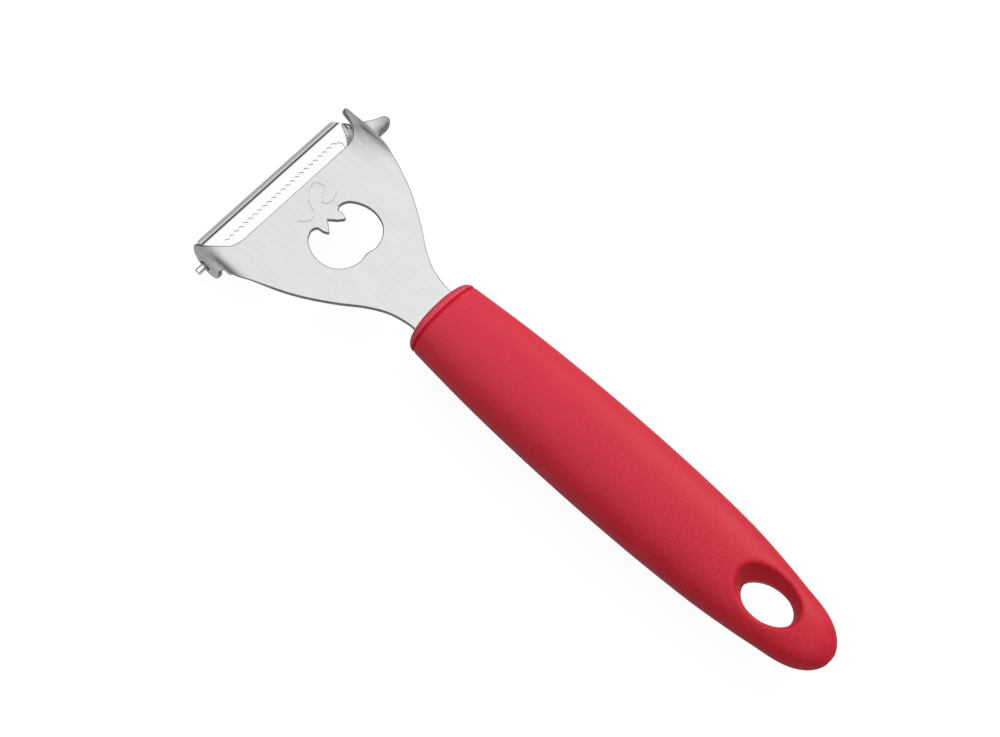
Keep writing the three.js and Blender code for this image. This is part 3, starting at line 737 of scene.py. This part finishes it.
# ---- materials ----
class Nodes:
    """Short calls for a material's node tree."""

    def __init__(self, name):
        self.material = bpy.data.materials.new(name)
        self.material.use_nodes = True
        self.tree = self.material.node_tree
        self.shader = self.tree.nodes["Principled BSDF"]
        self.coords = self.tree.nodes.new("ShaderNodeTexCoord").outputs["Object"]

    def link(self, a, b):
        self.tree.links.new(a, b)

    def scaled(self, scale):
        node = self.tree.nodes.new("ShaderNodeMapping")
        node.inputs["Scale"].default_value = scale
        self.link(self.coords, node.inputs["Vector"])
        return node.outputs["Vector"]

    def noise(self, scale, detail=3, roughness=0.55, stretch=(1, 1, 1)):
        node = self.tree.nodes.new("ShaderNodeTexNoise")
        node.inputs["Scale"].default_value = scale
        node.inputs["Detail"].default_value = detail
        node.inputs["Roughness"].default_value = roughness
        self.link(self.scaled(stretch), node.inputs["Vector"])
        return node.outputs["Fac"]

    def spread(self, value, low, high, out_low, out_high):
        node = self.tree.nodes.new("ShaderNodeMapRange")
        node.inputs["From Min"].default_value = low
        node.inputs["From Max"].default_value = high
        node.inputs["To Min"].default_value = out_low
        node.inputs["To Max"].default_value = out_high
        self.link(value, node.inputs["Value"])
        return node.outputs["Result"]

    def math(self, operation, a, b):
        node = self.tree.nodes.new("ShaderNodeMath")
        node.operation = operation
        for socket, value in zip(node.inputs, (a, b)):
            if isinstance(value, (int, float)):
                socket.default_value = value
            else:
                self.link(value, socket)
        return node.outputs["Value"]

    def mix(self, factor, first, second):
        node = self.tree.nodes.new("ShaderNodeMix")
        node.data_type = "RGBA"
        sockets = (node.inputs[0], node.inputs[6], node.inputs[7])
        for socket, value in zip(sockets, (factor, first, second)):
            if isinstance(value, (tuple, float)):
                socket.default_value = value
            else:
                self.link(value, socket)
        return node.outputs[2]

    def bump(self, height, strength, distance):
        node = self.tree.nodes.new("ShaderNodeBump")
        node.inputs["Strength"].default_value = strength
        node.inputs["Distance"].default_value = distance
        self.link(height, node.inputs["Height"])
        self.link(node.outputs["Normal"], self.shader.inputs["Normal"])

    def set(self, **values):
        for name, value in values.items():
            socket = self.shader.inputs[name.replace("_", " ")]
            if isinstance(value, (int, float, tuple)):
                socket.default_value = value
            else:
                self.link(value, socket)
        return self.material


LEFT_FOLD = (-0.0264, -0.0244)  # metres from the head's middle, between which painted shade, or added roughness, fades
RIGHT_FOLD = (0.0165, 0.0228)
RIGHT_EAR_END = (0.0262, 0.0275)
HEAD_AHEAD = (0.038, 0.051)  # metres ahead of the handle
EARS_AHEAD = (0.0495, 0.0530)
EITHER_FOLD = (0.0215, 0.0245)


def brushed_steel():
    """Stainless sheet brushed along the tool, with painted shade darkening it in streaks at the left
    ear and towards the front of the right fold and ear.
    """
    n = Nodes("brushed_steel")
    lines = n.noise(1500, 3, 0.6, (1, 0.03, 1))
    broad = n.noise(160, 3, 0.6, (1, 0.22, 1))
    cloud = n.noise(60, 2)
    tone = n.math("ADD", n.math("MULTIPLY", lines, 0.65), n.math("MULTIPLY", broad, 0.35))
    base = n.mix(n.spread(tone, 0.3, 0.7, 0, 1), (0.70, 0.695, 0.70, 1), (0.80, 0.795, 0.80, 1))
    split = n.tree.nodes.new("ShaderNodeSeparateXYZ")
    n.link(n.coords, split.inputs["Vector"])
    across = n.math("SUBTRACT", split.outputs["X"], float(ORIGIN[0]))
    front = n.math("SUBTRACT", split.outputs["Y"], float(ORIGIN[1]))
    out = n.math("ABSOLUTE", across, 0.0)
    # Streaky noise, which breaks the painted fold shade below into streaks.
    streak_noise = n.noise(700, 4, 0.65, (1, 0.25, 0.6))
    # Masks of the painted shade: the left ear, and the right fold and ear towards the front, weaker on
    # the scoop.
    left = n.spread(across, *LEFT_FOLD, 1, 0)
    right = n.math("MULTIPLY", n.spread(across, *RIGHT_FOLD, 0, 1), n.spread(front, *HEAD_AHEAD, 0, 1))
    right = n.math("MULTIPLY", right, n.spread(across, *RIGHT_EAR_END, 1, 0.35))
    left = n.math("MULTIPLY", left, n.spread(streak_noise, 0.3, 0.7, 0.0, 0.6))
    # Painted shade: the left ear is mixed towards a darker steel colour.
    base = n.mix(left, base, (0.50, 0.495, 0.495, 1))
    right = n.math("MULTIPLY", right, n.spread(streak_noise, 0.3, 0.7, 0.45, 1.0))
    # Painted shade: the right fold and ear are mixed towards a much darker steel colour.
    base = n.mix(right, base, (0.26, 0.255, 0.255, 1))
    rough = n.spread(lines, 0.3, 0.7, 0.32, 0.40)
    rough = n.math("ADD", rough, n.spread(cloud, 0.3, 0.7, -0.02, 0.02))
    dulled = n.math("MULTIPLY", n.spread(front, *EARS_AHEAD, 0, 1), n.spread(out, *EITHER_FOLD, 0, 0.3))
    rough = n.math("ADD", rough, dulled)
    n.bump(lines, 0.06, 0.00002)
    return n.set(Base_Color=base, Roughness=rough, Metallic=1.0)


def coined_steel():
    """The bottom of the pressed line: duller than the brushed face."""
    n = Nodes("coined_steel")
    grit = n.noise(1800, 2)
    base = n.mix(n.spread(grit, 0.3, 0.7, 0, 1), (0.50, 0.495, 0.50, 1), (0.62, 0.615, 0.62, 1))
    n.bump(grit, 0.1, 0.00002)
    return n.set(Base_Color=base, Roughness=n.spread(grit, 0.3, 0.7, 0.42, 0.55), Metallic=1.0)


def rim_steel():
    """The blade's guard rims: ground satin, with hairlines along them."""
    n = Nodes("rim_steel")
    hair = n.noise(2600, 3, 0.7, (0.006, 1, 1))
    base = n.mix(n.spread(hair, 0.42, 0.58, 0, 1), (0.42, 0.41, 0.41, 1), (0.88, 0.87, 0.87, 1))
    n.bump(hair, 0.2, 0.00002)
    return n.set(Base_Color=base, Roughness=n.spread(hair, 0.3, 0.7, 0.16, 0.28), Metallic=1.0)


def inner_steel():
    """The ears' inner faces: smoother, burnished by the folding tool, and given a brighter colour than
    the face steel, which is painted light.
    """
    n = Nodes("inner_steel")
    lines = n.noise(1500, 3, 0.6, (1, 1, 0.05))
    # Painted light: a near-white steel colour, brighter than the brushed face, for faces that get
    # little light.
    base = n.mix(n.spread(lines, 0.3, 0.7, 0, 1), (0.90, 0.90, 0.90, 1), (0.96, 0.96, 0.96, 1))
    n.bump(lines, 0.04, 0.00001)
    return n.set(Base_Color=base, Roughness=n.spread(lines, 0.3, 0.7, 0.10, 0.17), Metallic=1.0)


def cut_steel():
    """The sheared edges of the stamping: darker and rougher than its faces."""
    n = Nodes("cut_steel")
    streak_noise = n.noise(1600, 3, 0.6, (1, 1, 0.15))
    base = n.mix(n.spread(streak_noise, 0.3, 0.7, 0, 1), (0.16, 0.155, 0.15, 1), (0.33, 0.32, 0.31, 1))
    n.bump(streak_noise, 0.25, 0.00003)
    return n.set(Base_Color=base, Roughness=n.spread(streak_noise, 0.3, 0.7, 0.34, 0.52), Metallic=1.0)


def polished_steel():
    """The mirror-polished blade, with faint hairlines along its length."""
    n = Nodes("polished_steel")
    hair = n.noise(1500, 3, 0.6, (0.015, 1, 1))
    smear = n.noise(120, 3)
    base = n.mix(n.spread(hair, 0.3, 0.7, 0, 1), (0.88, 0.88, 0.89, 1), (0.95, 0.95, 0.96, 1))
    n.bump(hair, 0.04, 0.00001)
    return n.set(Base_Color=base, Roughness=n.spread(smear, 0.3, 0.7, 0.06, 0.13), Metallic=1.0)


def soft_red(name, deep, light, speck_colour, grain, roughness, shine, painted_light_span=None):
    """Moulded red plastic or rubber with a fine speckled grain. Between the two places along Y given in
    the last argument, in metres, it gets paler towards +Y, as painted light."""
    n = Nodes(name)
    grit = n.noise(1300, 3, 0.6)
    cloud = n.noise(110, 3)
    tone = n.math("ADD", n.math("MULTIPLY", grit, 0.75), n.math("MULTIPLY", cloud, 0.25))
    base = n.mix(n.spread(tone, 0.36, 0.64, 0, 1), deep, light)
    speck = n.noise(4200, 1, 0.5)
    base = n.mix(n.spread(speck, 0.52, 0.70, 0, 0.7), base, speck_colour)
    # Painted light: paler and pinker towards +Y, by the collar.
    if painted_light_span:
        split = n.tree.nodes.new("ShaderNodeSeparateXYZ")
        n.link(n.coords, split.inputs["Vector"])
        base = n.mix(n.spread(split.outputs["Y"], *painted_light_span, 0, 0.55), base, speck_colour)
    rough = n.spread(grit, 0.3, 0.7, roughness - 0.06, roughness + 0.07)
    n.bump(n.math("ADD", grit, speck), grain, 0.00006)
    return n.set(Base_Color=base, Roughness=rough, Specular_IOR_Level=shine)


def side_walls(mesh, limit):
    """Which faces of a flat sheet are its sheared side walls: those that hardly face up or down."""
    return [abs(face.normal.z) < limit for face in mesh.polygons]


def dress(piece, kinds, *others):
    """Gives the faces of each further kind a material of their own."""
    for material in others:
        piece.data.materials.append(material)
    piece.data.polygons.foreach_set("material_index", kinds)


# ---- the pieces ----
def place(piece, body, node, slot, material):
    piece.data.materials.clear()
    piece.data.materials.append(material)
    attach(piece, body)
    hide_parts(node)


def make_grip():
    low = (-14.0, -HANDLE_LENGTH - 1.2, -10.0)
    high = (14.0, 0.0, 11.2)
    piece = surface_net("soft_grip", grip_field, low, high, 0.5)
    smooth_shade(piece, 45)
    return piece


def make_plug():
    low = (-12.0, -PLUG_LENGTH - 1.0, -8.5)
    high = (12.0, 1.2, 9.5)
    piece = surface_net("collar_plug", plug_field, low, high, 0.3)
    smooth_shade(piece, 45)
    return piece


def make_object():
    edge = cut_steel()
    head, kinds = make_head()
    place(head, "handle", "head_plate", "brushed_steel", brushed_steel())
    dress(head, kinds, edge, coined_steel(), inner_steel())
    blade, kinds = make_blade()
    place(blade, "blade", "swivel_blade", "polished_steel", polished_steel())
    dress(blade, kinds, edge, rim_steel())
    grip = make_grip()
    # The grip gets painted light, paler towards the collar, between the two Y places given last.
    place(grip, "handle", "grip_sleeve", "soft_grip", soft_red(
        "soft_touch", (0.49, 0.002, 0.014, 1), (0.60, 0.008, 0.028, 1), (0.69, 0.036, 0.068, 1),
        0.35, 0.55, 0.30, painted_light_span=(-0.085, 0.035),
    ))
    plug = make_plug()
    place(plug, "handle", "tang_plug", "collar_plastic", soft_red(
        "collar_red", (0.60, 0.030, 0.060, 1), (0.68, 0.045, 0.080, 1), (0.72, 0.07, 0.11, 1),
        0.2, 0.5, 0.4,
    ))
    core_red = soft_red(
        "core_red", (0.50, 0.001, 0.012, 1), (0.57, 0.002, 0.018, 1), (0.62, 0.01, 0.02, 1),
        0.1, 0.6, 0.1,
    )
    groove = float(ORIGIN[1]) - (COLLAR_LENGTH - 0.05) * MM
    dress(plug, [int(face.center.y < groove) for face in plug.data.polygons], core_red)
    for slot in frame["nodes"]["handle_core"].material_slots:
        slot.material = core_red


# ---- studio ----
FLOOR_COLOUR = (0.38, 0.38, 0.38, 1)
FLOOR_KEPT_SHADOW = (0.11, 0.11, 0.11, 1)  # what is left to the floor's shading where it glows
FLOOR_GLOW = 0.93
GLOW_IN_REFLECTIONS = 0.42
DOME_TOP = 1.08
DOME_HORIZON = 0.06
DOME_DARK_BELOW = 0.30  # sines of the heights between which the dome brightens
DOME_BRIGHT_ABOVE = 0.84
FLOOR_HALF_SIZE = 3.0
FLOOR_BELOW = 0.0002  # clear of the object's lowest point
CAMERA_AIM = (0.00024, -0.02069, 0)  # from the handle's front face
CAMERA_REACH = 0.714
KEY_PLACE, KEY_AIM = (0.80, -0.05, 0.55), (0, -0.02, 0)
KEY_SIZE, KEY_POWER = 0.40, 5.0


def make_camera():
    """The camera looks along the photograph's own line: over the handle's left side, from high up."""
    target = Vector(ORIGIN) + Vector(CAMERA_AIM)
    azimuth, elevation = math.radians(-46.155), math.radians(66)
    back = Vector((
        math.sin(azimuth) * math.cos(elevation),
        -math.cos(azimuth) * math.cos(elevation),
        math.sin(elevation),
    ))
    data = bpy.data.cameras.new("camera")
    data.lens = 108
    data.sensor_width = 36
    camera = bpy.data.objects.new("camera", data)
    bpy.context.scene.collection.objects.link(camera)
    camera.location = target + back * CAMERA_REACH
    camera.rotation_euler = (-back).to_track_quat("-Z", "Y").to_euler()
    bpy.context.scene.camera = camera


def area_lamp(name, place, aim, size, power):
    data = bpy.data.lights.new(name, "AREA")
    data.shape = "DISK"
    data.size = size
    data.energy = power
    lamp = bpy.data.objects.new(name, data)
    bpy.context.scene.collection.objects.link(lamp)
    lamp.location = place
    lamp.rotation_euler = (Vector(aim) - Vector(place)).to_track_quat("-Z", "Y").to_euler()


def background_rays(tree):
    """How much of the background's glow a ray sees: all from the camera, less in metal or glass."""
    path = tree.nodes.new("ShaderNodeLightPath")
    seen = path.outputs["Is Camera Ray"]
    for ray in ("Is Glossy Ray", "Is Transmission Ray"):
        dim = tree.nodes.new("ShaderNodeMath")
        dim.operation = "MULTIPLY"
        dim.inputs[1].default_value = GLOW_IN_REFLECTIONS
        tree.links.new(path.outputs[ray], dim.inputs[0])
        both = tree.nodes.new("ShaderNodeMath")
        both.operation = "MAXIMUM"
        tree.links.new(seen, both.inputs[0])
        tree.links.new(dim.outputs["Value"], both.inputs[1])
        seen = both.outputs["Value"]
    return seen


def make_floor():
    size = FLOOR_HALF_SIZE
    z = cad_low.z - FLOOR_BELOW
    corners = [(-size, -size, z), (size, -size, z), (size, size, z), (-size, size, z)]
    floor = new_object("floor", corners, [(0, 1, 2, 3)])
    n = Nodes("floor")
    seen = background_rays(n.tree)
    colour = n.mix(seen, FLOOR_COLOUR, FLOOR_KEPT_SHADOW)
    n.set(Base_Color=colour, Roughness=0.9, Specular_IOR_Level=0.0)
    n.shader.inputs["Emission Color"].default_value = (1, 1, 1, 1)
    n.link(n.math("MULTIPLY", seen, FLOOR_GLOW), n.shader.inputs["Emission Strength"])
    floor.data.materials.append(n.material)


def make_world():
    """A soft dome of light: bright overhead, dim towards the horizon."""
    world = bpy.data.worlds.new("studio")
    world.use_nodes = True
    bpy.context.scene.world = world
    tree = world.node_tree
    back = tree.nodes["Background"]
    coords = tree.nodes.new("ShaderNodeTexCoord")
    split = tree.nodes.new("ShaderNodeSeparateXYZ")
    tree.links.new(coords.outputs["Generated"], split.inputs["Vector"])
    dome = tree.nodes.new("ShaderNodeMapRange")
    dome.interpolation_type = "SMOOTHSTEP"
    dome.inputs["From Min"].default_value = DOME_DARK_BELOW
    dome.inputs["From Max"].default_value = DOME_BRIGHT_ABOVE
    dome.inputs["To Min"].default_value = DOME_HORIZON
    dome.inputs["To Max"].default_value = DOME_TOP
    tree.links.new(split.outputs["Z"], dome.inputs["Value"])
    tree.links.new(dome.outputs["Result"], back.inputs["Strength"])
    back.inputs["Color"].default_value = (1, 1, 1, 1)


def make_studio():
    make_camera()
    make_floor()
    make_world()
    area_lamp("key", KEY_PLACE, KEY_AIM, KEY_SIZE, KEY_POWER)
    bpy.context.scene.view_settings.view_transform = "Standard"


make_studio()
make_object()
